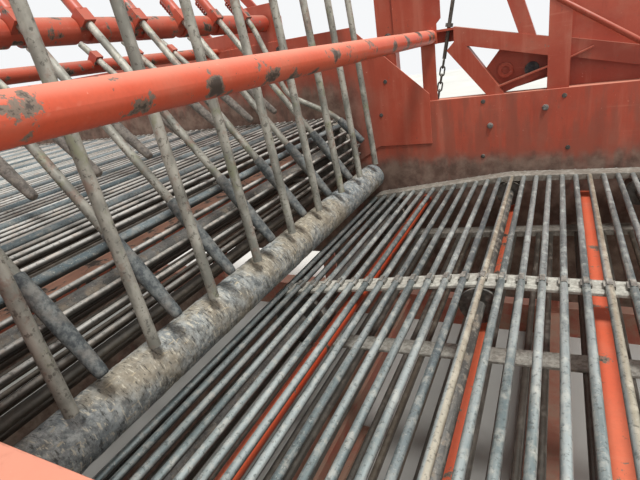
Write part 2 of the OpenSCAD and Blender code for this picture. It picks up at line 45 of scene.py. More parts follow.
# Webs: each drum or bend as x, z and the radius of the belts' line round it
UPPER_LOOP = ((-2080, 750, 111), (-215, 750, 111))
LOWER_LOOP = ((0, 494, 78), (426.5, 583.2, 48), (1110, 557.5, 78))
UPPER_PITCH, UPPER_BAR_D = 32, 11
LOWER_PITCH, LOWER_BAR_D = 36, 14
# Bars: where the first one lies, in pitches, how deep they are seated, and the gap at the walls
BAR_PHASE, BAR_SINK, BAR_GAP = 0.3, 3, 12
BAR_EDGE = 1.2
# Belts: y, and how far the rubber rises over the bars' seat
UPPER_BELTS = ((-705, 0), (705, 0))
LOWER_BELTS = ((-705, 12), (0, 0), (705, 12))
BELT_T, BELT_W, BELT_EDGE = 8, 50, 1.5
# Degrees of a bend between two points of a belt
BEND_STEP = 6
# Clips: length, how far they are wider and higher than the bar, and the share of their thickness
# that is rounded off
CLIP_L, CLIP_OVER, CLIP_RISE, CLIP_ROUND = 34, 5, 0.8, 0.42
# Their rivet heads: radius, flattening, and how far they lie past the clip's end and up
RIVET_R, RIVET_FLAT, RIVET_PAST, RIVET_RISE = 5, 0.6, 1.5, 1.2
# Haulm roller: its axis' x and z, its radius and the gap at the walls
ROLLER, ROLLER_R, ROLLER_GAP = (-65, 635), 47, 8
# Its crust of soil: how far under that radius it lies on average, and over it at most
CRUST_IN, CRUST_OUT = 1.5, 2.5
# Tine rows: the shaft's x and z, the lean in degrees, the first tine's y and how many tines
NOSE_ROW, NOSE_LEAN, NOSE_FIRST, NOSE_COUNT = (-427, 1226), 35.8, -535, 8
WEB_ROW, WEB_LEAN, WEB_FIRST, WEB_COUNT = (-670, 1160), 46, -643, 9
TINE_PITCH, TINE_R = 160, 9
# Rounded ends: over the last 2 mm the radius shrinks by 1.6 mm
TINE_END, TINE_ROUND = 2, 1.6
# In a row's own frame: how far the tines stand off the shaft, and reach down and up
NOSE_OFF, NOSE_L, NOSE_TOP = 37.5, 642.3, 120
WEB_OFF, WEB_L = 31, 372
NOSE_SHAFT_R = 28.5
# The bent tine: its corners in the nose row's frame, x and z, and how far each one is rounded
BENT_R = 40
BENT = ((37.5, -40), (-28, -285), (59, -447), (77, -571))
# Rubber sleeves: radius, length, how far they pass the tine's end, and the bent tine's shorter one
SLEEVE_R, SLEEVE_L, SLEEVE_END, BENT_SLEEVE_L = 14, 180, 8, 100
# Springs: radius, the wire's radius, length, turns, and how far beside the tine
SPRING_R, SPRING_WIRE, SPRING_L, SPRING_TURNS, SPRING_ASIDE = 10, 3, 72, 7, 45
# Motors: x and z, their flange's and ports' y, and where the ports lie on them
MOTORS = ((-215, 750), (-65, 635), (1110, 557.5))
MOTOR_FLANGE, MOTOR_PORTS, PORT_ASIDE, PORT_RISE = 774, 808, 20, 54
# Flange bearings: x, z, the wall's outer face and the side, then their flange and grease boss
BEARINGS = ((-2080, 750, 754, 1), (-2080, 750, 754, -1), (0, 494, 758, 1), (0, 494, 758, -1),
            (-215, 750, 758, -1), (-65, 635, 758, -1), (1110, 557.5, 758, -1))
BEARING_FLANGE, BEARING_BOSS, BOSS_RISE = 12, 24, 36
# What stands on the rails and low walls: x, the inner face, width, depth and the height of its foot
POSTS = tuple((x, face, 60, 60, 120) for x, face in (
    (-1980, 754), (-1520, 754), (-980, 754), (-345, 754), (90, 758), (523, 758), (960, 758)))
TOWER = (0, 757, 60, 46, 890)
# Crossmembers: x, and their half width, middle and top at the rails' inner face
CROSSMEMBERS = (-2120, -1590, -1060, -530, 0, 550, 1100)
CROSSMEMBER_HALF, CROSSMEMBER_MID, CROSSMEMBER_TOP, RAIL_IN = 40, 60, 100, 757

# Fasteners on both walls and their plates, x and z, and half the spacing of a flange's four bolts
LAP_BOLTS = ((-60, 780), (20, 780), (-250, 600), (-150, 600))
LOW_WALL_SMALL = ((359, 793), (521, 837))
LOW_WALL_FLUSH = ((335, 692), (338, 872), (572, 868), (588, 709), (900, 800), (1060, 700))
TALL_WALL_FLUSH = ((-9, 858), (17, 970), (-260, 1050), (-900, 1000), (-1400, 1040), (-1900, 1010))
SHAFT_PLATE_BOLTS = ((-740, 1030), (-600, 1030), (-470, 1030), (-380, 1030), (-740, 1090),
                     (-380, 1130))
TOWER_PLATE_BOLTS = ((20, 1320), (20, 1450), (40, 1110))
END_BOLTS = ((1170, 460), (1170, 640), (1170, 820))
BEARING_SPREAD, MOTOR_SPREAD = 38, 40
# Hexagon heads: width across flats, height, and their washer's radius and thickness
M12, M8, FLUSH, PLUG = (18, 7.5, 12, 2), (13, 5.5, 9.5, 2), (9, 1.6, 7, 1.2), (19, 7, 0, 0)
# Weld beads: length, how many ripples, and a ripple's radius across and along
WELD_L, WELD_RIPPLES, WELD_R, RIPPLE_R = 60, 15, 4.2, 3.4
# Angles that leave a part as built, lay a weld bead along X, or stand it up
AS_BUILT, ALONG_X, UPRIGHT = (0, 0, 0), (0, 0, math.pi / 2), (math.pi / 2, 0, 0)
# Blender's own numbers for a colour mix: both colours and the result
MIX_A, MIX_B, MIX_RESULT = 6, 7, 2


def linear(text):
    """The linear colour of an sRGB hex value."""
    parts = [int(text[i:i + 2], 16) / 255 for i in (0, 2, 4)]
    rgb = [c / 12.92 if c <= 0.04045 else ((c + 0.055) / 1.055) ** 2.4 for c in parts]
    return (*rgb, 1.0)


def add(tree, kind, inputs=None, **settings):
    """Adds a node with its settings, and sets or links its inputs."""
    node = tree.nodes.new(kind)
    for name, value in settings.items():
        setattr(node, name, value)
    for socket, value in (inputs or {}).items():
        if isinstance(value, bpy.types.NodeSocket):
            tree.links.new(value, node.inputs[socket])
        else:
            node.inputs[socket].default_value = value
    return node


def start(name, metallic=0.0, roughness=0.5):
    """A new material's tree, its shader and the piece's own coordinates in metres."""
    material = bpy.data.materials.new(name)
    material.use_nodes = True
    tree = material.node_tree
    shader = tree.nodes["Principled BSDF"]
    shader.inputs["Metallic"].default_value = metallic
    shader.inputs["Roughness"].default_value = roughness
    place = add(tree, "ShaderNodeTexCoord").outputs["Object"]
    return material, tree, shader, place


def speckle(tree, place, per_metre, detail=4.0, rough=0.6, stretch=(1, 1, 1)):
    """Noise with so many blotches to the metre, drawn out along an axis by stretch."""
    moved = add(tree, "ShaderNodeMapping", {"Vector": place, "Scale": stretch})
    return add(tree, "ShaderNodeTexNoise", {"Vector": moved.outputs["Vector"], "Scale": per_metre,
                                            "Detail": detail, "Roughness": rough}).outputs["Fac"]


def ramp(tree, value, low, high, low_out=0.0, high_out=1.0):
    """Maps a value from low..high to low_out..high_out, smoothly and clamped."""
    return add(tree, "ShaderNodeMapRange", {"Value": value, "From Min": low, "From Max": high,
                                            "To Min": low_out, "To Max": high_out},
               interpolation_type="SMOOTHSTEP").outputs["Result"]


def math_of(tree, operation, a, b=0.0):
    """One operation on two values, with its result kept between 0 and 1."""
    return add(tree, "ShaderNodeMath", {0: a, 1: b}, operation=operation, use_clamp=True).outputs[0]


def mix(tree, factor, a, b):
    """Mixes two colours, each a hex text or a socket."""
    node = add(tree, "ShaderNodeMix", {"Factor": factor}, data_type="RGBA")
    for socket, value in ((node.inputs[MIX_A], a), (node.inputs[MIX_B], b)):
        if isinstance(value, str):
            socket.default_value = linear(value)
        else:
            tree.links.new(value, socket)
    return node.outputs[MIX_RESULT]


def bump(tree, shader, height, distance, strength=1.0, under=None):
    """Raises the surface by a height pattern, so many metres deep, over another bump."""
    inputs = {"Height": height, "Distance": distance, "Strength": strength}
    if under:
        inputs["Normal"] = under
    out = add(tree, "ShaderNodeBump", inputs).outputs["Normal"]
    tree.links.new(out, shader.inputs["Normal"])
    return out


def rise(tree):
    """How far a face looks up: 1 straight up, -1 straight down."""
    normal = add(tree, "ShaderNodeNewGeometry").outputs["Normal"]
    return add(tree, "ShaderNodeSeparateXYZ", {"Vector": normal}).outputs["Z"]


def upward(tree):
    """1 on faces that look up, where dust lies."""
    return ramp(tree, rise(tree), 0.3, 1.0)


def axis_of(tree, place, axis):
    """One coordinate of a place, in metres."""
    return add(tree, "ShaderNodeSeparateXYZ", {"Vector": place}).outputs[axis]


def enamel(name, base="AC4A35", faded="BC5B45", chips=0.7, chip_size=1.0, dust=0.3, haze=0.18,
           film_tone="A8907A", soil=None, washed=0.0):
    """Orange red machine enamel, sprayed on hot rolled steel and bleached by the sun: a chalky
    skin with chips down to grey brown primer and dust on what looks up. Washed sets how far rain
    has streaked it and ground dust has greyed its foot. Soil, for a wall's inner face, gives the
    height under which it is all crust, the height over which it is clean, how far downstream it
    reaches and how far out, in metres."""
    material, tree, shader, place = start(name, roughness=0.5)
    # bleached in clouds of about 400 mm
    blotch = speckle(tree, place, 2.5, 5)
    colour = mix(tree, ramp(tree, blotch, 0.35, 0.7), base, faded)
    # orange peel of the sprayed skin, at 5 mm coarser than the real 1 mm, so that it shows
    grain = speckle(tree, place, 190, 3)
    colour = mix(tree, ramp(tree, grain, 0.3, 0.8, 0.0, 0.14), colour, "7E3323")
    # lines that crop has rubbed run along the channel, up to 250 mm long
    scratch = speckle(tree, place, 60, 2, 0.5, (0.06, 1, 1.4))
    scratch_mask = ramp(tree, scratch, 0.66, 0.76, 0.0, 0.2)
    colour = mix(tree, scratch_mask, colour, "CE8B73")
    # nicks of 10 mm by stones: bare primer, and pale where the skin is only bruised
    nick = speckle(tree, place, 75, 6, 0.72)
    colour = mix(tree, ramp(tree, nick, 0.645, 0.67, 0.0, 0.75), colour, "6A4A3E")
    colour = mix(tree, ramp(tree, nick, 0.335, 0.31, 0.0, 0.6), colour, "DB9C88")
    # dust lies on top and hazes the rest
    lies = math_of(tree, "MULTIPLY", upward(tree), dust)
    colour = mix(tree, lies, colour, film_tone)
    film = ramp(tree, speckle(tree, place, 14, 6), 0.45, 0.8, 0.0, haze)
    colour = mix(tree, film, colour, "A8907A")
    film = math_of(tree, "ADD", lies, film)
    z = axis_of(tree, place, "Z")
    if washed:
        # rain draws streaks 60 mm wide down the sheets, and wheels throw dust at the lowest parts
        wash = speckle(tree, place, 17, 6, 0.62, (1, 1, 0.09))
        colour = mix(tree, ramp(tree, wash, 0.53, 0.7, 0.0, washed), colour, "C57F69")
        colour = mix(tree, ramp(tree, wash, 0.46, 0.32, 0.0, washed), colour, "84392A")
        thrown = math_of(tree, "MULTIPLY", ramp(tree, z, 0.62, 0.02, 0.0, 0.85),
                         ramp(tree, speckle(tree, place, 8, 9, 0.78), 0.38, 0.62, 0.1, 0.9))
        colour = mix(tree, thrown, colour, "A08A76")
        film = math_of(tree, "MAXIMUM", film, thrown)
    # chips of 20 to 60 mm keep a dark core of rusted steel inside a rim of primer
    chip = speckle(tree, place, 22 / chip_size, 8, 0.66)
    chip_mask = ramp(tree, chip, chips, chips + 0.02)
    core = ramp(tree, chip, chips + 0.035, chips + 0.06)
    colour = mix(tree, chip_mask, colour, mix(tree, core, "7A6A5C", "4A4038"))
    rough = ramp(tree, film, 0.0, 0.6, 0.42, 0.85)
    if soil:
        # damp crust that crop throws at the wall, with a ragged edge and runs below it
        low, high, reach, outmost = soil
        wander = ramp(tree, speckle(tree, place, 9, 7, 0.7), 0.3, 0.75, -0.18, 0.18)
        runs = speckle(tree, place, 30, 4, 0.6, (1, 1, 0.14))
        streak = ramp(tree, runs, 0.3, 0.7, -0.22, 0.22)
        level = add(tree, "ShaderNodeMath", {0: wander, 1: streak}, operation="ADD").outputs[0]
        level = math_of(tree, "ADD", ramp(tree, z, high, low), level)
        off_axis = math_of(tree, "ABSOLUTE", axis_of(tree, place, "Y"))
        inside = ramp(tree, off_axis, outmost, outmost - 0.001)
        if reach is not None:
            x = axis_of(tree, place, "X")
            inside = math_of(tree, "MULTIPLY", inside, ramp(tree, x, reach, reach - 0.25))
        crust = math_of(tree, "MULTIPLY", inside, ramp(tree, level, 0.12, 0.95, 0.0, 0.86))
        stained = add(tree, "ShaderNodeMath", {0: z, 1: streak}, operation="ADD").outputs[0]
        stain = ramp(tree, stained, high + 0.2, low, 0.0, 0.45)
        colour = mix(tree, math_of(tree, "MULTIPLY", inside, stain), colour, "7A5244")
        damp = speckle(tree, place, 16, 8, 0.7)
        tone = mix(tree, ramp(tree, damp, 0.35, 0.68), "4A433A", "857668")
        colour = mix(tree, crust, colour, tone)
        rough = math_of(tree, "MAXIMUM", rough, ramp(tree, crust, 0.0, 1.0, 0.4, 0.95))
    tree.links.new(colour, shader.inputs["Base Color"])
    tree.links.new(rough, shader.inputs["Roughness"])
    sunk = math_of(tree, "MULTIPLY", chip_mask, 0.3)
    height = math_of(tree, "SUBTRACT", ramp(tree, blotch, 0, 1, 0.3, 0.5), sunk)
    under = bump(tree, shader, height, 0.0012, 0.5)
    bump(tree, shader, grain, 0.0003, 0.35, under)
    return material


def weathered_steel(name, bright, dark, dust_tone, dust=0.5, roughness=0.5, stretch=(1, 0.08, 1),
                    per_metre=40, odd=None, returns=None, shaded=(0.4, -0.25)):
    """Bare steel rubbed by crop: darker scale where it isn't touched, and dried soil dust.
    With odd, some bars that lie along Y are tinted from end to end. With returns, the bars on
    their way back, from the higher of these heights down, are darkened: coated with soil and
    painted in shade. Faces that look down are painted darker as painted shade, from the first to
    the second value of shaded."""
    material, tree, shader, place = start(name, metallic=0.5, roughness=roughness)
    # rubbed and dull lengths, drawn out along Y unless stretch says otherwise, with finer wear
    tone = speckle(tree, place, per_metre, 4, 0.6, stretch)
    colour = mix(tree, ramp(tree, tone, 0.35, 0.68), dark, bright)
    wear = speckle(tree, place, per_metre * 2.5, 5, 0.7, stretch)
    colour = mix(tree, ramp(tree, wear, 0.56, 0.7, 0.0, 0.4), colour, "B9B6AB")
    if odd:
        by_bar = speckle(tree, place, 19, 0, 0.5, (1, 0.001, 1))
        colour = mix(tree, ramp(tree, by_bar, 0.66, 0.69, 0.0, 0.6), colour, odd)
        colour = mix(tree, ramp(tree, by_bar, 0.42, 0.34, 0.0, 0.45), colour, "4F5A60")
    # dust in patches of 20 mm, dark scale of 7 mm and pale grit of 4 mm
    soil = speckle(tree, place, 48, 7, 0.7)
    mask = math_of(tree, "MULTIPLY", ramp(tree, soil, 0.46, 0.66), dust)
    colour = mix(tree, mask, colour, dust_tone)
    scale = speckle(tree, place, 150, 4, 0.65)
    colour = mix(tree, ramp(tree, scale, 0.54, 0.66, 0.0, 0.55), colour, "3F423F")
    grit = speckle(tree, place, 240, 3, 0.7)
    colour = mix(tree, ramp(tree, grit, 0.58, 0.7, 0.0, 0.5), colour, "C6C4B7")
    # painted shade: faces that look down are darkened as if in shadow, from the first to the second
    # value of shaded
    under = ramp(tree, rise(tree), shaded[0], shaded[1], 0.0, 0.88)
    colour = mix(tree, under, colour, "322D27")
    if returns:
        # the return run is darkened: soil on the bars, and painted shade under the web's upper run
        below = ramp(tree, axis_of(tree, place, "Z"), returns[1], returns[0], 0.0, 0.85)
        colour = mix(tree, below, colour, mix(tree, soil, "3B342C", "6C6255"))
    tree.links.new(colour, shader.inputs["Base Color"])
    rough = ramp(tree, mask, 0.0, 0.6, roughness - 0.1, 0.9)
    tree.links.new(rough, shader.inputs["Roughness"])
    tree.links.new(ramp(tree, mask, 0.0, 0.5, 0.5, 0.0), shader.inputs["Metallic"])
    bump(tree, shader, soil, 0.0012, 0.5)
    return material


def painted_tine(name):
    """Tine steel with what is left of its paint: a beige grey skin with olive and reddish brown
    patches of 40 to 60 mm and dark flecks of 9 mm."""
    material, tree, shader, place = start(name, metallic=0.25, roughness=0.6)
    tone = speckle(tree, place, 30, 4, 0.6, (1, 1, 0.5))
    colour = mix(tree, ramp(tree, tone, 0.35, 0.66), "828177", "B3B0A3")
    olive = speckle(tree, place, 17, 6, 0.66)
    colour = mix(tree, ramp(tree, olive, 0.55, 0.66, 0.0, 0.5), colour, "858A62")
    # moved aside, so that the brown patches don't follow the olive ones
    moved = add(tree, "ShaderNodeVectorMath", {0: place, 1: (3.1, 1.7, 5.3)}).outputs[0]
    rust = speckle(tree, moved, 24, 7, 0.7)
    colour = mix(tree, ramp(tree, rust, 0.54, 0.64, 0.0, 0.6), colour, "8B6F60")
    fleck = speckle(tree, place, 110, 4, 0.66)
    colour = mix(tree, ramp(tree, fleck, 0.56, 0.64, 0.0, 0.7), colour, "544F47")
    tree.links.new(colour, shader.inputs["Base Color"])
    bump(tree, shader, rust, 0.0012, 0.5)
    return material


def dusty_rubber(name, clean, worn, dust=0.5, wall_shade_from=None):
    """Moulded rubber, matt and greyed by soil dust that sits in its scuffs. Farther from the
    middle than the last argument gives, in metres, it is painted darker and browner as painted
    shade along the walls."""
    material, tree, shader, place = start(name, roughness=0.78)
    # scuffs of 10 mm, dust in patches of 35 mm
    scuff = speckle(tree, place, 95, 6, 0.7)
    colour = mix(tree, ramp(tree, scuff, 0.38, 0.64), clean, worn)
    film = speckle(tree, place, 30, 7, 0.68)
    colour = mix(tree, ramp(tree, film, 0.44, 0.66, 0.0, dust), colour, "948C80")
    # painted shade: the belts along the walls are painted darker and browner, as if shaded by the
    # walls
    if wall_shade_from:
        off_axis = math_of(tree, "ABSOLUTE", axis_of(tree, place, "Y"))
        painted_wall_shade = math_of(tree, "MULTIPLY", ramp(tree, off_axis, wall_shade_from, wall_shade_from + 0.01),
                          ramp(tree, film, 0.35, 0.6, 0.45, 0.9))
        colour = mix(tree, painted_wall_shade, colour, mix(tree, scuff, "4A443C", "8A8073"))
    tree.links.new(colour, shader.inputs["Base Color"])
    bump(tree, shader, scuff, 0.0012, 0.6)
    return material


def dried_soil(name):
    """The roller's felt of dried clay and chopped haulm: grey, matt, flecked with short straws."""
    material, tree, shader, place = start(name, roughness=0.95)
    # lumps of 15 mm, with brown and blue grey lengths of 200 mm
    lump = speckle(tree, place, 60, 8, 0.72)
    colour = mix(tree, ramp(tree, lump, 0.36, 0.66), "616564", "AEB1AC")
    patch = speckle(tree, place, 5, 5, 0.6)
    brown = mix(tree, lump, "6E6353", "B0A58D")
    colour = mix(tree, ramp(tree, patch, 0.47, 0.6, 0.0, 0.8), colour, brown)
    blue = mix(tree, lump, "4A5257", "929A9B")
    colour = mix(tree, ramp(tree, patch, 0.47, 0.38, 0.0, 0.65), colour, blue)
    # straws about 5 mm wide, wound round the roller and lying along it
    across = speckle(tree, place, 210, 3, 0.6, (0.3, 1, 0.3))
    along = speckle(tree, place, 170, 3, 0.6, (1, 0.25, 1))
    colour = mix(tree, ramp(tree, across, 0.58, 0.66, 0.0, 0.8), colour, "C6BFAC")
    colour = mix(tree, ramp(tree, along, 0.62, 0.69, 0.0, 0.7), colour, "B9AC91")
    colour = mix(tree, ramp(tree, across, 0.42, 0.34, 0.0, 0.75), colour, "34322D")
    tree.links.new(colour, shader.inputs["Base Color"])
    under = bump(tree, shader, lump, 0.004, 0.9)
    bump(tree, shader, across, 0.0025, 0.8, under)
    return material


def concrete(name):
    """Pale floor, near white, with clouds of 1.4 m."""
    material, tree, shader, place = start(name, roughness=0.9)
    cloud = speckle(tree, place, 0.7, 6)
    colour = mix(tree, ramp(tree, cloud, 0.3, 0.7), "BEBDB6", "CACAC4")
    tree.links.new(colour, shader.inputs["Base Color"])
    return material


def finishes():
    """Every finish, by the name that nodes and pieces ask for."""
    wall = dict(dust=0.75, haze=0.15, film_tone="D2937A", chips=0.72, chip_size=0.7, washed=0.35)
    skin = dict(base="9E3F2B", faded="B4553E", dust=0.35, chips=0.68)
    # for small parts that don't lie along Y
    compact = dict(stretch=(1, 1, 1), per_metre=60)
    return {
        "wall_low": enamel("wall enamel, lower", soil=(0.645, 0.745, None, 0.7565), **wall),
        "wall_tall": enamel("wall enamel, upper", soil=(0.91, 1.06, 0.05, 0.7525), **wall),
        "frame": enamel("frame enamel", washed=0.35, **skin),
        "buried": enamel("crossmember enamel", soil=(0.2, 0.3, -0.3, 0.8), washed=0.2, **skin),
        "tube": enamel("tube enamel", base="CB4B29", faded="D46547", chips=0.555, chip_size=1.4,
                       dust=0.5, haze=0.25, film_tone="DDA18B"),
        # painted light: a brighter red than the frame's enamel, painting the sun that falls on the
        # lower crossbars
        "bright": enamel("crossbar enamel, painted sunlit", base="D24C28", faded="DC6945", chips=0.6,
                         chip_size=1.1, dust=0.2, film_tone="C98F70"),
        "worn": enamel("worn enamel", base="A34A34", faded="BE6B52", chips=0.52, chip_size=0.8,
                       dust=0.6),
        "shade": enamel("row enamel", base="A83E2A", faded="C45A41", dust=0.35, chips=0.57,
                        chip_size=0.8),
        "upper_bars": weathered_steel("upper bar steel", "D2D1CA", "9A978F", "ADA295", 0.85, 0.62,
                                      returns=(0.70, 0.76), shaded=(0.8, 0.1)),
        "upper_sleeves": weathered_steel("upper bar tubes", "8E9899", "566265", "8E8577", 0.4, 0.6,
                                         returns=(0.70, 0.76)),
        "lower_bars": weathered_steel("lower bar steel", "AFB8B5", "6A7676", "A9A091", 0.4, 0.45,
                                      odd="C0AF90", returns=(0.49, 0.53)),
        "belt": dusty_rubber("belt rubber", "8D8A80", "BAB8AC", 0.3, wall_shade_from=0.6),
        "sleeve": dusty_rubber("sleeve rubber", "3B4042", "6B6F6C", 0.35),
        "grey_sleeve": dusty_rubber("greyed rubber", "5F5A54", "8E867C", 0.6),
        "tine": painted_tine("tine steel"),
        "shaft": weathered_steel("shaft steel", "8F8E89", "55524D", "877A69", 0.8, 0.55),
        "soil": dried_soil("dried soil"),
        "iron": dusty_rubber("painted iron", "26292C", "45494B", 0.35),
        "clip": weathered_steel("clip steel", "A5A49C", "77746D", "9C9283", 0.6, 0.55, **compact),
        "bolt": weathered_steel("zinc bolt steel", "9C9C98", "66625C", "8A7C6A", 0.5, 0.5,
                                **compact),
        "zinc": weathered_steel("bright zinc", "E2E2DD", "A3A19B", "A59C8E", 0.15, 0.4, **compact),
        "floor": concrete("floor"),
    }


finish_of = finishes()


def dress(names, finish):
    """Gives CAD nodes one finish."""
    for name in names:
        node = nodes[name]
        node.data.materials.clear()
        node.data.materials.append(finish_of[finish])


def piece(name, mesh, finish, body, replaces=()):
    """Puts a finished mesh in the scene, on its body."""
    obj = bpy.data.objects.new(name, mesh)
    bpy.context.scene.collection.objects.link(obj)
    mesh.materials.clear()
    mesh.materials.append(finish_of[finish])
    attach(obj, body)
    if replaces:
        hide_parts(*replaces)


def dress_nodes():
    """The finishes of the CAD nodes."""
    dress(["low_wall_left", "low_wall_right"], "wall_low")
    dress(["tall_wall_left", "tall_wall_right", "shaft_plates"], "wall_tall")
    dress(["rail_left", "rail_right", "posts", "towers", "tower_plates", "struts", "side_frame",
           "side_housing", "guard_plate"], "frame")
    dress(["crossmembers"], "buried")
    dress(["upper_crossbars", "roller_scraper"], "worn")
    dress(["top_cross_tube"], "tube")
    # the lower crossbars get the brighter enamel that paints sunlight on them
    dress(["lower_crossbars"], "bright")
    dress(["hanging_shaft", "hanging_clamps", "nose_shaft", "nose_holders", "nose_springs",
           "web_shaft", "web_clamps"], "shade")
    dress(["upper_web"], "upper_bars")
    dress(["bar_sleeves"], "upper_sleeves")
    dress(["lower_web"], "lower_bars")
    dress(["upper_head_drum", "upper_tail_drum", "upper_supports", "lower_head_drum",
           "lower_tail_drum", "lower_supports", "haulm_shaft", "adjusting_chain"], "shaft")
    dress(["bearings", "drive_motors"], "iron")
    dress(["haulm_roller"], "soil")
    dress(["hanging_tines", "nose_tines", "web_tines"], "tine")
    dress(["nose_sleeves", "web_sleeves"], "sleeve")


def soften(names, width):
    """Gives CAD nodes with flat faces a small rounded edge, in mm, that catches the light."""
    for name in names:
        node = nodes[name]
        weld_corners = node.modifiers.new("weld", "WELD")
        weld_corners.merge_threshold = 0.00002
        bevel = node.modifiers.new("soft edge", "BEVEL")
        bevel.width = width * MM
        bevel.segments = 2
        bevel.limit_method = "ANGLE"
        bevel.angle_limit = math.radians(40)
        bevel.harden_normals = True


def mesh_of(name, build):
    """Turns what was built into a mesh."""
    mesh = bpy.data.meshes.new(name)
    build.to_mesh(mesh)
    build.free()
    return mesh


def outward(build):
    """Turns the faces of closed shapes outwards."""
    bmesh.ops.recalc_face_normals(build, faces=build.faces)


def wrap(build, rings):
    """Joins each ring of corners to the next with smooth faces."""
    for a, b in zip(rings, rings[1:]):
        for i in range(len(a)):
            k = (i + 1) % len(a)
            build.faces.new((a[i], b[i], b[k], a[k])).smooth = True


def soiled_roller():
    """The roller's skin of dried soil over its tube: swells of 200 mm, lumps of 40 mm and crumbs
    of 8 mm."""
    around, along = 120, 420
    # how many to the metre, and the mm by which each moves the skin
    swell, lump, crumb = 5, 26, 120
    swell_by, lump_by, crumb_by = 0.8, 0.8, 0.9
    end = CHANNEL_HALF - ROLLER_GAP
    build = bmesh.new()
    rings = []
    for j in range(along + 1):
        y = -end + 2 * end * j / along
        ring = []
        for i in range(around):
            angle = 2 * math.pi * i / around
            out = Vector((math.cos(angle), 0, math.sin(angle)))
            spot = out * ROLLER_R * MM + Vector((0, y * MM, 0))
            coarse = noise.fractal(spot * lump, 0.9, 2.1, 5)
            fine = noise.fractal(spot * crumb, 0.8, 2.0, 3)
            patch = noise.noise(spot * swell)
            r = ROLLER_R - CRUST_IN + lump_by * coarse + crumb_by * fine + swell_by * patch
            r = min(r, ROLLER_R + CRUST_OUT)
            x = ROLLER[0] * MM + out.x * r * MM
            z = ROLLER[1] * MM + out.z * r * MM
            ring.append(build.verts.new((x, y * MM, z)))
        rings.append(ring)
    wrap(build, rings)
    for ring in (rings[0][::-1], rings[-1]):
        build.faces.new(ring).smooth = True
    outward(build)
    piece("soiled_roller", mesh_of("soiled_roller", build), "soil", "haulm_roller_body",
          ["haulm_roller"])


def run_lean(a, b):
    """The angle of the outward normal on the straight run from one drum to the next."""
    way = math.atan2(b[1] - a[1], b[0] - a[0])
    return way + math.acos((a[2] - b[2]) / math.dist(a[:2], b[:2]))


def in_threes(loop):
    """Each drum or bend of a loop with the two that follow it."""
    return zip(loop, loop[1:] + loop[:1], loop[2:] + loop[:2])


def loop_frames(loop, pitch):
    """Where each bar crosses the belts' line: x, z and the angle of the outward normal, in mm
    and radians."""
    stretches = []
    for a, b, c in in_threes(loop):
        lean = run_lean(a, b)
        run = math.sqrt(math.dist(a[:2], b[:2]) ** 2 - (a[2] - b[2]) ** 2)
        turn = (lean - run_lean(b, c)) % (2 * math.pi)
        stretches.append((a, b, lean, run, b[2] * turn))
    total = sum(run + bend for a, b, lean, run, bend in stretches)
    bars = round(total / pitch)
    frames = []
    for k in range(bars):
        s = (k + BAR_PHASE) * total / bars
        for a, b, lean, run, bend in stretches:
            if s < run:
                frames.append((a[0] + a[2] * math.cos(lean) + s * math.sin(lean),
                               a[1] + a[2] * math.sin(lean) - s * math.cos(lean), lean))
                break
            s -= run
            if s < bend:
                q = lean - s / b[2]
                frames.append((b[0] + b[2] * math.cos(q), b[1] + b[2] * math.sin(q), q))
                break
            s -= bend
    return frames


def unit_mesh(name, build_shape):
    """A hidden object that holds one copy of a small part, for the node trees to repeat."""
    build = bmesh.new()
    build_shape(build)
    outward(build)
    obj = bpy.data.objects.new(name, mesh_of(name, build))
    bpy.context.scene.collection.objects.link(obj)
    return obj


def repeat_tree(name):
    """A node tree that sets a copy of one part on every point, turned by the point's angles."""
    tree = bpy.data.node_groups.new(name, "GeometryNodeTree")
    tree.interface.new_socket("Points", in_out="INPUT", socket_type="NodeSocketGeometry")
    tree.interface.new_socket("Part", in_out="INPUT", socket_type="NodeSocketObject")
    tree.interface.new_socket("Finish", in_out="INPUT", socket_type="NodeSocketMaterial")
    tree.interface.new_socket("Copies", in_out="OUTPUT", socket_type="NodeSocketGeometry")
    given = add(tree, "NodeGroupInput").outputs
    part = add(tree, "GeometryNodeObjectInfo", {"Object": given["Part"]}).outputs["Geometry"]
    turn = add(tree, "GeometryNodeInputNamedAttribute", {"Name": "turn"},
               data_type="FLOAT_VECTOR").outputs["Attribute"]
    turned = add(tree, "FunctionNodeEulerToRotation", {"Euler": turn}).outputs["Rotation"]
    copies = add(tree, "GeometryNodeInstanceOnPoints",
                 {"Points": given["Points"], "Instance": part, "Rotation": turned})
    real = add(tree, "GeometryNodeRealizeInstances", {"Geometry": copies.outputs[0]})
    done = add(tree, "GeometryNodeSetMaterial",
               {"Geometry": real.outputs[0], "Material": given["Finish"]})
    add(tree, "NodeGroupOutput", {"Copies": done.outputs[0]})
    return tree


def repeat(name, part, places, finish, body, replaces=()):
    """Copies the part to each place: a point in mm and the angles about X, Y and Z in radians."""
    points = bpy.data.meshes.new(name + "_points")
    points.from_pydata([[v * MM for v in spot] for spot, turn in places], [], [])
    turns = points.attributes.new("turn", "FLOAT_VECTOR", "POINT")
    for entry, (spot, turn) in zip(turns.data, places):
        entry.vector = turn
    holder = bpy.data.objects.new(name + "_points", points)
    bpy.context.scene.collection.objects.link(holder)
    modifier = holder.modifiers.new("repeat", "NODES")
    modifier.node_group = repeater
    sockets = repeater.interface.items_tree
    inputs = {item.name: item.identifier for item in sockets if item.in_out == "INPUT"}
    modifier[inputs["Part"]] = part
    modifier[inputs["Finish"]] = finish_of[finish]
    bpy.context.view_layer.update()
    evaluated = holder.evaluated_get(bpy.context.evaluated_depsgraph_get())
    mesh = bpy.data.meshes.new_from_object(evaluated)
    bpy.data.objects.remove(holder)
    bpy.data.objects.remove(part)
    piece(name, mesh, finish, body, replaces)


def loop_line(loop, grow):
    """Points along the belts' line moved out by grow, with the bends in small steps, in mm."""
    line = []
    for a, b, c in in_threes(loop):
        first = run_lean(a, b)
        turn = (first - run_lean(b, c)) % (2 * math.pi)
        steps = max(1, math.ceil(math.degrees(turn) / BEND_STEP))
        for k in range(steps + 1):
            q = first - turn * k / steps
            line.append((b[0] + (b[2] + grow) * math.cos(q), b[1] + (b[2] + grow) * math.sin(q)))
    return line


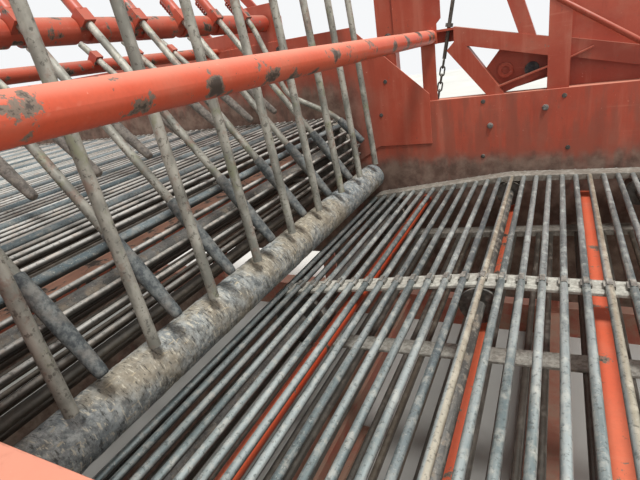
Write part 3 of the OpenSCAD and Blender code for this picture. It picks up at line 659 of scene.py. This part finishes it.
def belts(name, loop, places):
    """The web's rubber belts: closed bands with chamfered edges."""
    build = bmesh.new()
    edge, half = BELT_EDGE, BELT_W / 2
    inner, high = loop_line(loop, -BELT_T), loop_line(loop, edge - BELT_T)
    for y, top in places:
        outer, low = loop_line(loop, top), loop_line(loop, top - edge)
        section = ((outer, -half + edge), (outer, half - edge), (low, half), (high, half),
                   (inner, half - edge), (inner, -half + edge), (high, -half), (low, -half))
        rows = [[build.verts.new((x * MM, (y + dy) * MM, z * MM)) for x, z in line]
                for line, dy in section]
        for row, following in zip(rows, rows[1:] + rows[:1]):
            for i in range(len(row)):
                k = (i + 1) % len(row)
                build.faces.new((row[i], row[k], following[k], following[i]))
    outward(build)
    return mesh_of(name, build)


def round_bar(length, radius):
    """Builds a bar along Y with chamfered ends and rings between them, about the origin."""
    sides, spans = 20, 12

    def build_shape(build):
        half = length / 2
        stations = [(-half, radius - BAR_EDGE), (-half + BAR_EDGE, radius)]
        stations += [(-half + length * k / spans, radius) for k in range(1, spans)]
        stations += [(half - BAR_EDGE, radius), (half, radius - BAR_EDGE)]
        rings = [[build.verts.new((r * math.cos(2 * math.pi * i / sides) * MM, y * MM,
                                   r * math.sin(2 * math.pi * i / sides) * MM))
                  for i in range(sides)] for y, r in stations]
        wrap(build, rings)
        build.faces.new(rings[0])
        build.faces.new(rings[-1][::-1])
    return build_shape


def belt_clip(width, thick):
    """Builds the forged knob that holds a bar on a belt: a rounded saddle with a flattened rivet
    head at each end, on +Z."""
    def build_shape(build):
        pad = bmesh.ops.create_cube(build, size=1.0)["verts"]
        for v in pad:
            v.co = Vector((v.co.x * width * MM, v.co.y * CLIP_L * MM, (v.co.z + 0.5) * thick * MM))
        edges = [e for e in build.edges if any(v.co.z > thick * MM / 2 for v in e.verts)]
        bmesh.ops.bevel(build, geom=edges, offset=thick * CLIP_ROUND * MM, segments=3,
                        affect="EDGES")
        for side in (-1, 1):
            head = bmesh.ops.create_icosphere(build, subdivisions=2, radius=RIVET_R * MM)["verts"]
            for v in head:
                v.co.z *= RIVET_FLAT
                v.co += Vector((0, side * (CLIP_L / 2 + RIVET_PAST) * MM, RIVET_RISE * MM))
    return build_shape


def web_bars():
    """Both webs: belts, round bars, riveted clips where bars and belts meet."""
    webs = (("upper", UPPER_LOOP, UPPER_PITCH, UPPER_BAR_D, UPPER_BELTS, "upper_bars"),
            ("lower", LOWER_LOOP, LOWER_PITCH, LOWER_BAR_D, LOWER_BELTS, "lower_bars"))
    for name, loop, pitch, bar_d, at_y, finish in webs:
        lift = bar_d / 2 - BAR_SINK
        frames = loop_frames(loop, pitch)
        piece(name + "_belts", belts(name + "_belts", loop, at_y), "belt", "frame",
              [name + "_web"])
        bar = unit_mesh(name + "_bar", round_bar(2 * (CHANNEL_HALF - BAR_GAP), bar_d / 2))
        places = [((x + lift * math.cos(q), 0, z + lift * math.sin(q)), (0, -q, 0))
                  for x, z, q in frames]
        repeat(name + "_bars", bar, places, finish, "frame", [name + "_web"])
        saddle = belt_clip(bar_d + CLIP_OVER, bar_d - BAR_SINK + CLIP_RISE)
        # where a belt rises over the bars' ends, they need no clips
        places = [((x, y, z), (0, math.pi / 2 - q, 0))
                  for x, z, q in frames for y, top in at_y if not top]
        repeat(name + "_clips", unit_mesh(name + "_clip", saddle), places, "clip", "frame")


def swept(build, line, radii, sides=20):
    """Adds a closed tube along a line of points in mm, with a radius at each."""
    line = [Vector(p) for p in line]
    rings = []
    side_way = None
    for i, p in enumerate(line):
        along = (line[min(i + 1, len(line) - 1)] - line[max(i - 1, 0)]).normalized()
        if side_way is None:
            side_way = along.orthogonal().normalized()
        side_way = (side_way - along * side_way.dot(along)).normalized()
        other = along.cross(side_way)
        ring = []
        for k in range(sides):
            a = 2 * math.pi * k / sides
            rim = (side_way * math.cos(a) + other * math.sin(a)) * radii[i]
            ring.append(build.verts.new((p + rim) * MM))
        rings.append(ring)
    for a, b in zip(rings, rings[1:]):
        for k in range(sides):
            n = (k + 1) % sides
            build.faces.new((a[k], a[n], b[n], b[k])).smooth = True
    build.faces.new(rings[0][::-1])
    build.faces.new(rings[-1])


def in_row(row, lean, x, y, z):
    """A point of a tine row's own frame, as the source has it, in the shared frame, in mm."""
    a = math.radians(lean)
    return (row[0] + x * math.cos(a) - z * math.sin(a), y,
            row[1] + x * math.sin(a) + z * math.cos(a))


def smooth_line(points):
    """Rounds the corners of a line of (x, z) points."""
    steps = 6
    out = [Vector(points[0])]
    for a, b, c in zip(points, points[1:], points[2:]):
        a, b, c = Vector(a), Vector(b), Vector(c)
        p, q = b + (a - b).normalized() * BENT_R, b + (c - b).normalized() * BENT_R
        for k in range(steps + 1):
            t = k / steps
            out.append(p * (1 - t) ** 2 + b * 2 * t * (1 - t) + q * t ** 2)
    out.append(Vector(points[-1]))
    return out


def nose_row_tines():
    """The nose row's tines with rounded ends; the last one is bent in smooth curves."""
    build = bmesh.new()
    for k in range(NOSE_COUNT):
        y = NOSE_FIRST + k * TINE_PITCH
        path = [Vector((NOSE_OFF, NOSE_TOP)), Vector((NOSE_OFF, -NOSE_L))]
        if k == NOSE_COUNT - 1:
            path = smooth_line([(NOSE_OFF, NOSE_TOP), *BENT])
        first, last = path[0], path[-1]
        tip = (last - path[-2]).normalized()
        top = (first - path[1]).normalized()
        line = [first, first - top * TINE_END, *path[1:-1], last - tip * TINE_END, last]
        radii = [TINE_R - TINE_ROUND] + [TINE_R] * (len(line) - 2) + [TINE_R - TINE_ROUND]
        swept(build, [in_row(NOSE_ROW, NOSE_LEAN, p.x, y, p.y) for p in line], radii)
    piece("nose_row_tines", mesh_of("nose_row_tines", build), "tine", "nose_row",
          ["nose_tines"])


def fingers(name, row, lean, runs, finish, body, replaced):
    """Moulded rubber fingers on tines: a lip, a swelling and a taper to a rounded tip.
    Each run is its y and the points (x, z) where it starts and ends."""
    # share of the length from the top, share of the full radius
    profile = ((0, 0.76), (0.012, 0.84), (0.08, 0.86), (0.19, 0.95), (0.33, 1), (0.55, 0.96),
               (0.8, 0.82), (0.95, 0.76), (0.985, 0.68), (1, 0.52))
    build = bmesh.new()
    for y, top, end in runs:
        top, end = Vector(top), Vector(end)
        spots = [top.lerp(end, share) for share, swell in profile]
        line = [in_row(row, lean, p.x, y, p.y) for p in spots]
        swept(build, line, [SLEEVE_R * swell for share, swell in profile], 24)
    piece(name, mesh_of(name, build), finish, body, [replaced])


def straight_runs(first, count, off, reach):
    """The runs of the fingers on a row's straight tines."""
    return [(first + k * TINE_PITCH, (off, SLEEVE_L - reach), (off, -reach - SLEEVE_END))
            for k in range(count)]


def rubber_fingers():
    """The rubber sleeves on the ends of the nose row's and the web row's tines."""
    runs = straight_runs(NOSE_FIRST, NOSE_COUNT - 1, NOSE_OFF, NOSE_L)
    tip = Vector(BENT[3])
    back = (Vector(BENT[2]) - tip).normalized()
    runs.append((NOSE_FIRST + (NOSE_COUNT - 1) * TINE_PITCH, tip + back * BENT_SLEEVE_L,
                 tip - back * SLEEVE_END))
    fingers("nose_row_fingers", NOSE_ROW, NOSE_LEAN, runs, "sleeve", "nose_row", "nose_sleeves")
    runs = straight_runs(WEB_FIRST, WEB_COUNT, WEB_OFF, WEB_L)
    fingers("web_row_fingers", WEB_ROW, WEB_LEAN, runs, "grey_sleeve", "web_row", "web_sleeves")


def coil(build):
    """Builds a coil spring round a short rod with a chamfered end, standing on z = 0."""
    steps = SPRING_TURNS * 24
    line = []
    for k in range(steps + 1):
        a = 2 * math.pi * SPRING_TURNS * k / steps
        z = SPRING_WIRE + (SPRING_L - 2 * SPRING_WIRE) * k / steps
        line.append((SPRING_R * math.cos(a), SPRING_R * math.sin(a), z))
    swept(build, line, [SPRING_WIRE] * len(line), 8)
    rod_r, rod_l = 5, SPRING_L + 10
    swept(build, [(0, 0, 0), (0, 0, rod_l - 2), (0, 0, rod_l)], [rod_r, rod_r, rod_r - 1], 12)


def nose_row_springs():
    """A spring beside each tine of the nose row, on the shaft."""
    spring = unit_mesh("spring", coil)
    turn = (0, -math.radians(NOSE_LEAN), 0)
    places = []
    for k in range(NOSE_COUNT):
        y = NOSE_FIRST + SPRING_ASIDE + k * TINE_PITCH
        places.append((in_row(NOSE_ROW, NOSE_LEAN, 0, y, NOSE_SHAFT_R), turn))
    repeat("nose_row_springs", spring, places, "shade", "nose_row",
           ["nose_springs"])


def disc(build, segments, foot_r, top_r, base, height):
    """Adds a disc or cone on the Z axis, from the base up, in mm."""
    made = bmesh.ops.create_cone(build, segments=segments, cap_ends=True, radius1=foot_r * MM,
                                 radius2=top_r * MM, depth=height * MM)["verts"]
    for v in made:
        v.co.z += (base + height / 2) * MM


def hex_bolt(across_flats, head, washer_r, washer_t):
    """Builds a bolt head with its washer, standing on z = 0 and looking along +Z. Without a
    washer, its radius and thickness are 0."""
    # the washer's chamfer in mm, the head's as a share of its radius
    washer_edge, head_edge = 0.4, 0.12

    def build_shape(build):
        if washer_r:
            disc(build, 24, washer_r, washer_r - washer_edge, 0, washer_t)
        radius = across_flats / math.sqrt(3)
        disc(build, 6, radius, radius, washer_t, head)
        top = [e for e in build.edges
               if all(v.co.z > (washer_t + head) * MM - 1e-6 for v in e.verts)]
        bmesh.ops.bevel(build, geom=top, offset=head_edge * radius * MM, segments=2,
                        affect="EDGES")
    return build_shape


def nipple(build):
    """Builds a grease nipple, standing on z = 0: its foot, neck and head, tapered upwards."""
    taper = 0.8
    for radius, top, base in ((4.5, 3, 0), (2.6, 8, 3), (3.4, 10, 7)):
        disc(build, 10, radius, radius * taper, base, top - base)


def facing(side):
    """The angles that turn +Z to +Y for side 1 and to -Y for side -1."""
    return (-side * math.pi / 2, 0, 0)


def port_plugs():
    """Hex plugs in the drive motors' ports and grease nipples on the bearings."""
    places = [((x + dx, MOTOR_PORTS, z + PORT_RISE), AS_BUILT)
              for x, z in MOTORS for dx in (-PORT_ASIDE, PORT_ASIDE)]
    repeat("port_plugs", unit_mesh("plug", hex_bolt(*PLUG)), places, "bolt", "frame")
    places = [((x, side * (y + BEARING_BOSS), z + BOSS_RISE), AS_BUILT)
              for x, z, y, side in BEARINGS]
    repeat("grease_nipples", unit_mesh("nipple", nipple), places, "bolt", "frame")


def at(spots, y, turn):
    """Places on a wall or plate, from x and z."""
    return [((x, y, z), turn) for x, z in spots]


def round_flange(x, z, half):
    """The x and z of a flange's four bolts."""
    return [(x + dx, z + dz) for dx in (-half, half) for dz in (-half, half)]


def wall_bolts():
    """Large bolts with washers on the walls' lap joint, plates, bearings and motors, and smaller
    and flush ones on the walls' inner faces."""
    places, small, flush = [], [], []
    for side in (-1, 1):
        out, within = facing(side), facing(-side)
        places += at(LAP_BOLTS, side * LOW_WALL_OUT, out)
        small += at(LOW_WALL_SMALL, side * LOW_WALL_IN, within)
        flush += at(LOW_WALL_FLUSH, side * LOW_WALL_IN, within)
        flush += at(TALL_WALL_FLUSH, side * CHANNEL_HALF, within)
        for spot in SHAFT_PLATE_BOLTS:
            places += at([spot], side * SHAFT_PLATE_OUT, out)
            places += at([spot], side * CHANNEL_HALF, within)
        places += at(TOWER_PLATE_BOLTS, side * TOWER_PLATE_IN, within)
        places += at(END_BOLTS, side * LOW_WALL_OUT, out)
    for x, z, y, side in BEARINGS:
        flange = side * (y + BEARING_FLANGE)
        places += at(round_flange(x, z, BEARING_SPREAD), flange, facing(side))
    for x, z in MOTORS:
        places += at(round_flange(x, z, MOTOR_SPREAD), MOTOR_FLANGE, facing(1))
    repeat("wall_bolts", unit_mesh("bolt", hex_bolt(*M12)), places, "bolt", "frame")
    repeat("small_bolts", unit_mesh("small_bolt", hex_bolt(*M8)), small, "zinc", "frame")
    repeat("flush_bolts", unit_mesh("flush_bolt", hex_bolt(*FLUSH)), flush, "bolt", "frame")


def weld(build):
    """Builds a weld bead along Y: overlapping ripples in a corner at the origin."""
    for k in range(WELD_RIPPLES):
        y = -WELD_L / 2 + WELD_L * (k + 0.5) / WELD_RIPPLES
        drop = bmesh.ops.create_icosphere(build, subdivisions=1, radius=1.0)["verts"]
        for v in drop:
            v.co = Vector((v.co.x * WELD_R, v.co.y * RIPPLE_R + y, v.co.z * WELD_R)) * MM


def welds():
    """Weld beads at the feet of the posts and towers and along the frame's corners."""
    places = []
    for side in (-1, 1):
        for x, y, wide, deep, foot in (*POSTS, TOWER):
            places.append(((x, side * (y + deep / 2), foot), AS_BUILT))
            places.append(((x + wide, side * (y + deep / 2), foot), AS_BUILT))
            places.append(((x + wide / 2, side * (y + deep), foot), ALONG_X))
        for x in CROSSMEMBERS:
            for dx in (-CROSSMEMBER_HALF, CROSSMEMBER_HALF):
                places.append(((x + dx, side * RAIL_IN, CROSSMEMBER_MID), UPRIGHT))
            places.append(((x, side * RAIL_IN, CROSSMEMBER_TOP), ALONG_X))
    repeat("welds", unit_mesh("weld", weld), places, "frame", "frame")


def view_camera():
    """The photographer leans over the near wall and looks down along the channel."""
    data = bpy.data.cameras.new("camera")
    data.sensor_width = 36
    data.lens = 25.8
    camera = bpy.data.objects.new("camera", data)
    bpy.context.scene.collection.objects.link(camera)
    eye = (0.55, -0.86, 1.10)
    right = Vector((0.8930, 0.4241, -0.1506))
    up = Vector((-0.0371, 0.4029, 0.9145))
    back = Vector((0.4485, -0.8111, 0.3755))
    turn = Matrix((right, up, back)).transposed().to_4x4()
    camera.matrix_world = Matrix.Translation(eye) @ turn
    bpy.context.scene.camera = camera


def studio():
    """A pale floor, an even sky and one broad lamp high on the camera's right."""
    reach = 14
    mesh = bpy.data.meshes.new("floor")
    mesh.from_pydata([(-reach, -reach, 0), (reach, -reach, 0), (reach, reach, 0),
                      (-reach, reach, 0)], [], [(0, 1, 2, 3)])
    mesh.materials.append(finish_of["floor"])
    floor = bpy.data.objects.new("floor", mesh)
    bpy.context.scene.collection.objects.link(floor)
    world = bpy.data.worlds.new("studio")
    bpy.context.scene.world = world
    world.use_nodes = True
    tree = world.node_tree
    tree.nodes.clear()
    # the sky lights the part, and the camera and its reflections see a paler backdrop
    rays = add(tree, "ShaderNodeLightPath").outputs
    seen = math_of(tree, "MAXIMUM", rays["Is Camera Ray"], rays["Is Glossy Ray"])
    sky = add(tree, "ShaderNodeBackground", {"Color": (1, 1, 1, 1), "Strength": 0.8})
    backdrop = add(tree, "ShaderNodeBackground",
                   {"Color": (0.93, 0.94, 0.95, 1), "Strength": 1.0})
    both = add(tree, "ShaderNodeMixShader",
               {0: seen, 1: sky.outputs[0], 2: backdrop.outputs[0]})
    add(tree, "ShaderNodeOutputWorld", {"Surface": both.outputs[0]})
    lamp = bpy.data.lights.new("lamp", "SUN")
    lamp.energy = 3.4
    lamp.angle = math.radians(12)
    holder = bpy.data.objects.new("lamp", lamp)
    direction = Vector((-0.35, 0.25, -1.0))
    holder.rotation_euler = direction.to_track_quat("-Z", "Y").to_euler()
    bpy.context.scene.collection.objects.link(holder)


bpy.context.scene.view_settings.view_transform = "Standard"
view_camera()
studio()
dress_nodes()
soften(["rail_left", "rail_right", "crossmembers", "posts", "low_wall_left", "low_wall_right",
        "tall_wall_left", "tall_wall_right", "towers", "tower_plates", "shaft_plates", "struts",
        "side_frame", "guard_plate", "side_housing", "upper_crossbars", "roller_scraper"], 1.0)
repeater = repeat_tree("repeater")
soiled_roller()
web_bars()
nose_row_tines()
nose_row_springs()
rubber_fingers()
port_plugs()
wall_bolts()
welds()
